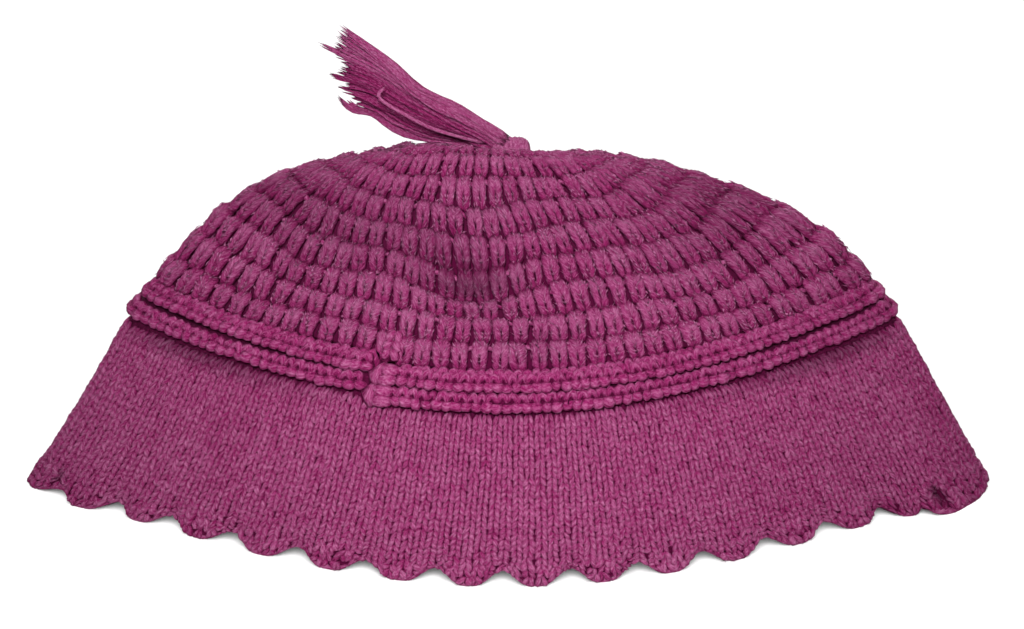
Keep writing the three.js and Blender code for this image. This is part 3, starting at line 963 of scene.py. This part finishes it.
# Painted shadow on the strands low in the fan, which lie back under the upper ones. Columns: place in the
# fan, painted shade
FAN_PAINTED_SHADES = ((0.40, 0.06), (0.56, 0.42), (0.85, 0.36), (1.0, 0.15))
# A loose strand in front of the others
LOOSE_STRAND = np.array([
    (-6.0, -2.0, 101.0), (-14.0, -6.0, 104.4), (-21.4, -8.0, 107.4), (-27.5, -9.0, 111.0),
    (-33.2, -9.0, 114.4), (-35.6, -9.0, 117.0), (-33.8, -8.0, 119.2),
])
LOOSE_RADIUS = 0.5
LOOSE_SIDES = 8


def tassel_path(fan, share, reach):
    """The path of a strand at a place in the fan, from 0 at its top to 1 at its bottom."""
    guides = TASSEL_GUIDES.reshape(len(TASSEL_GUIDES), -1)
    between = fan * (len(guides) - 1)
    index = min(int(between), len(guides) - 2)
    path = smooth_between(guides, np.array([index]), between - index).reshape(-1, 3)
    place = share * reach * (len(path) - 1)
    steps = np.clip(place.astype(int), 0, len(path) - 2)
    return smooth_between(path, steps, (place - steps)[:, None])


def add_lock(tassel, share, lock_fan, lock_reach, lock_curl):
    """Adds a lock: a core and the strands round it, which wave together."""
    middle = np.sin(math.pi * share ** MIDDLE_POWER)[:, None]
    clumped = LOCK_CLUMPING * share[:, None]
    curling = np.clip((share - CURL_SHARE) / (1 - CURL_SHARE), 0, 1) ** 2
    lock_phases = random.uniform(0, 2 * math.pi, 3)
    lock_wave = np.sin(2 * math.pi * random.uniform(*LOCK_WAVES) * share[:, None] + lock_phases)
    spine = tassel_path(lock_fan, share, CORE_REACH * lock_reach) + (0.0, CORE_RADIUS, 0.0)
    spine += LOCK_WAVE * middle * lock_wave
    spine[:, 2] += lock_curl * curling
    core = tube(spine, CORE_RADIUS * np.interp(share, *zip(*CORE_TAPER)), CORE_SIDES, STRAND_OVER)
    tassel.add(core.points, core.faces, core.lay + random.uniform(0, LAY_RANGE, 3), 0.0, CORE_PAINTED_SHADE)
    for _ in range(STRANDS_PER_LOCK):
        fan = np.clip(lock_fan + random.normal(0, FAN_SPREAD), 0, 1)
        reach = lock_reach - abs(random.normal(0, REACH_SPREAD))
        own_way = tassel_path(fan, share, reach)
        spine = own_way * (1 - clumped) + tassel_path(lock_fan, share, reach) * clumped
        spine[:, 2] += lock_curl * curling
        phases = random.uniform(0, 2 * math.pi, 3)
        waves = np.sin(2 * math.pi * random.uniform(*STRAND_WAVES, 3) * share[:, None] + phases)
        stray = random.normal(0, 1, 3) * MIDDLE_SPREAD
        spine += middle * (stray + STRAND_WAVE * waves + LOCK_WAVE * lock_wave)
        spine += share[:, None] * random.normal(0, 1, 3) * TIP_SPREAD
        spine += (1 - share[:, None]) * random.normal(0, 1, 3) * ROOT_SPREAD
        radii = random.uniform(*STRAND_RADIUS) * np.interp(share, *zip(*STRAND_TAPER))
        strand = tube(spine, radii, STRAND_SIDES, STRAND_OVER)
        lay = strand.lay + random.uniform(0, LAY_RANGE, 3)
        # Painted shadow: strands low in the fan are darker
        depth = np.interp(fan, *zip(*FAN_PAINTED_SHADES))
        tassel.add(strand.points, strand.faces, lay, random.uniform(-1, 1), depth)


def make_tassel():
    tassel = Mesh()
    share = np.linspace(0, 1, STRAND_STEPS)
    for lock in TASSEL_LOCKS:
        add_lock(tassel, share, *lock)
    place = share * (len(LOOSE_STRAND) - 1)
    steps = np.minimum(place.astype(int), len(LOOSE_STRAND) - 2)
    loose = smooth_between(LOOSE_STRAND, steps, (place - steps)[:, None])
    strand = tube(loose, np.full(len(loose), LOOSE_RADIUS), LOOSE_SIDES, STRAND_OVER)
    tassel.add(strand.points, strand.faces, strand.lay, 1.0)
    tassel.piece("tassel_strands", "tassel", "tassel_yarn", tassel_yarn)
    make_knot()


# Columns: place along the knot, size of the wrap
KNOT_WRAPS = ((-5.6, 0.72), (-4.6, 0.84), (-3.6, 0.92), (-2.6, 0.97), (-1.6, 1.0), (-0.6, 1.0), (0.4, 0.97),
              (1.3, 0.90), (2.1, 0.78), (2.8, 0.60))
KNOT_DEPTH = 2.9
KNOT_HEIGHT = 1.9
WRAP_RADIUS = 0.85
WRAP_STEPS = 24
WRAP_SIDES = 8
WRAP_WANDER = 0.3
WRAP_LAY = (2.5, 0.6, 0.6)


def make_knot():
    """The knot at the tassel's root: turns of yarn side by side."""
    knot = Mesh()
    around = np.linspace(0, 2 * math.pi, WRAP_STEPS, endpoint=False)
    for x, size in KNOT_WRAPS:
        centre = KNOT + (x, 0.0, 0.0)
        turn = np.stack([WRAP_WANDER * np.sin(around + x), KNOT_DEPTH * size * np.cos(around),
                         KNOT_HEIGHT * size * np.sin(around)], axis=1)
        outward = turn / np.linalg.norm(turn, axis=1, keepdims=True)
        rings = []
        for angle in np.linspace(0, 2 * math.pi, WRAP_SIDES, endpoint=False):
            reach = outward * math.cos(angle) + (math.sin(angle), 0, 0)
            rings.append(centre + turn + WRAP_RADIUS * reach)
        points, faces = skin_rings(rings)
        knot.add(points, facing_out(points, faces), points * WRAP_LAY, random.uniform(-1, 1))
    knot.piece("tassel_knot", "tassel", "tassel_yarn", tassel_yarn)


# Stage, light and camera

IMAGE_WIDTH = 1024
IMAGE_HEIGHT = 629
SENSOR = 36.0
FOCAL_PIXELS = 3214.3
CAMERA_DISTANCE = 0.9
CAMERA_ELEVATION = math.radians(20)
TARGET = Vector((0.0, 0.0, 0.055))
TARGET_PIXEL = (510.0, 299.1)
# The lights of the hat. Columns: name, place, size, power, spread in degrees
HAT_LIGHTS = (
    ("key", (-0.03, -0.985, 0.55), 0.15, 0.61, 24),
    ("top", (0.0, -0.25, 1.5), 0.9, 13.5, 180),
    ("back", (0.0, 1.0, 0.5), 0.5, 1.5, 30),
)
SKY_LIGHT = 0.12
FLOOR_REACH = 6.0
FLOOR_GREY = 0.92
FLOOR_ROUGHNESS = 0.9
# The floor's own light, with its angle and its tilt in degrees
FLOOR_LIGHT = 6.5
FLOOR_LIGHT_ANGLE = 40
FLOOR_LIGHT_TILT = 57


def make_camera():
    data = bpy.data.cameras.new("camera")
    data.sensor_width = SENSOR
    data.lens = FOCAL_PIXELS * SENSOR / IMAGE_WIDTH
    data.shift_x = (IMAGE_WIDTH / 2 - TARGET_PIXEL[0]) / IMAGE_WIDTH
    data.shift_y = (TARGET_PIXEL[1] - IMAGE_HEIGHT / 2) / IMAGE_WIDTH
    camera = bpy.data.objects.new("camera", data)
    back = Vector((0.0, -math.cos(CAMERA_ELEVATION), math.sin(CAMERA_ELEVATION)))
    camera.location = TARGET + CAMERA_DISTANCE * back
    camera.rotation_euler = (-back).to_track_quat("-Z", "Y").to_euler()
    bpy.context.scene.collection.objects.link(camera)
    bpy.context.scene.camera = camera


def make_light(name, place, size, power, spread):
    data = bpy.data.lights.new(name, "AREA")
    data.size = size
    data.spread = math.radians(spread)
    data.energy = power
    light = bpy.data.objects.new(name, data)
    light.location = place
    light.rotation_euler = (TARGET - Vector(place)).to_track_quat("-Z", "Y").to_euler()
    bpy.context.scene.collection.objects.link(light)
    return light


def light_floor(floor, hat_lights):
    """An even light that only reaches the floor, while the hat's lights leave it out."""
    data = bpy.data.lights.new("floor_light", "SUN")
    data.energy = FLOOR_LIGHT
    data.angle = math.radians(FLOOR_LIGHT_ANGLE)
    even = bpy.data.objects.new("floor_light", data)
    even.rotation_euler = (math.radians(FLOOR_LIGHT_TILT), 0.0, 0.0)
    bpy.context.scene.collection.objects.link(even)
    only_floor = bpy.data.collections.new("only_floor")
    only_floor.objects.link(floor)
    even.light_linking.receiver_collection = only_floor
    no_floor = bpy.data.collections.new("no_floor")
    no_floor.objects.link(floor)
    no_floor.collection_objects[0].light_linking.link_state = "EXCLUDE"
    for light in hat_lights:
        light.light_linking.receiver_collection = no_floor


def make_stage():
    """A plain pale floor under soft light."""
    corners = [(-FLOOR_REACH, -FLOOR_REACH, 0), (FLOOR_REACH, -FLOOR_REACH, 0),
               (FLOOR_REACH, FLOOR_REACH, 0), (-FLOOR_REACH, FLOOR_REACH, 0)]
    floor_mesh = bpy.data.meshes.new("floor")
    floor_mesh.from_pydata(corners, [], [(0, 1, 2, 3)])
    paper = bpy.data.materials.new("paper")
    paper.use_nodes = True
    shader = paper.node_tree.nodes["Principled BSDF"]
    shader.inputs["Base Color"].default_value = (FLOOR_GREY, FLOOR_GREY, FLOOR_GREY, 1.0)
    shader.inputs["Roughness"].default_value = FLOOR_ROUGHNESS
    floor_mesh.materials.append(paper)
    floor = bpy.data.objects.new("floor", floor_mesh)
    bpy.context.scene.collection.objects.link(floor)
    light_floor(floor, [make_light(*light) for light in HAT_LIGHTS])
    world = bpy.data.worlds.new("studio")
    world.use_nodes = True
    sky = world.node_tree.nodes["Background"]
    sky.inputs["Color"].default_value = (1.0, 1.0, 1.0, 1.0)
    sky.inputs["Strength"].default_value = SKY_LIGHT
    bpy.context.scene.world = world
    bpy.context.scene.view_settings.view_transform = "Standard"


make_camera()
make_stage()
make_brim()
make_welt("lower_welt", 0.0, LOWER_WELT_ROWS)
make_welt("upper_welt", 1.0, UPPER_WELT_ROWS)
make_crown()
make_tassel()
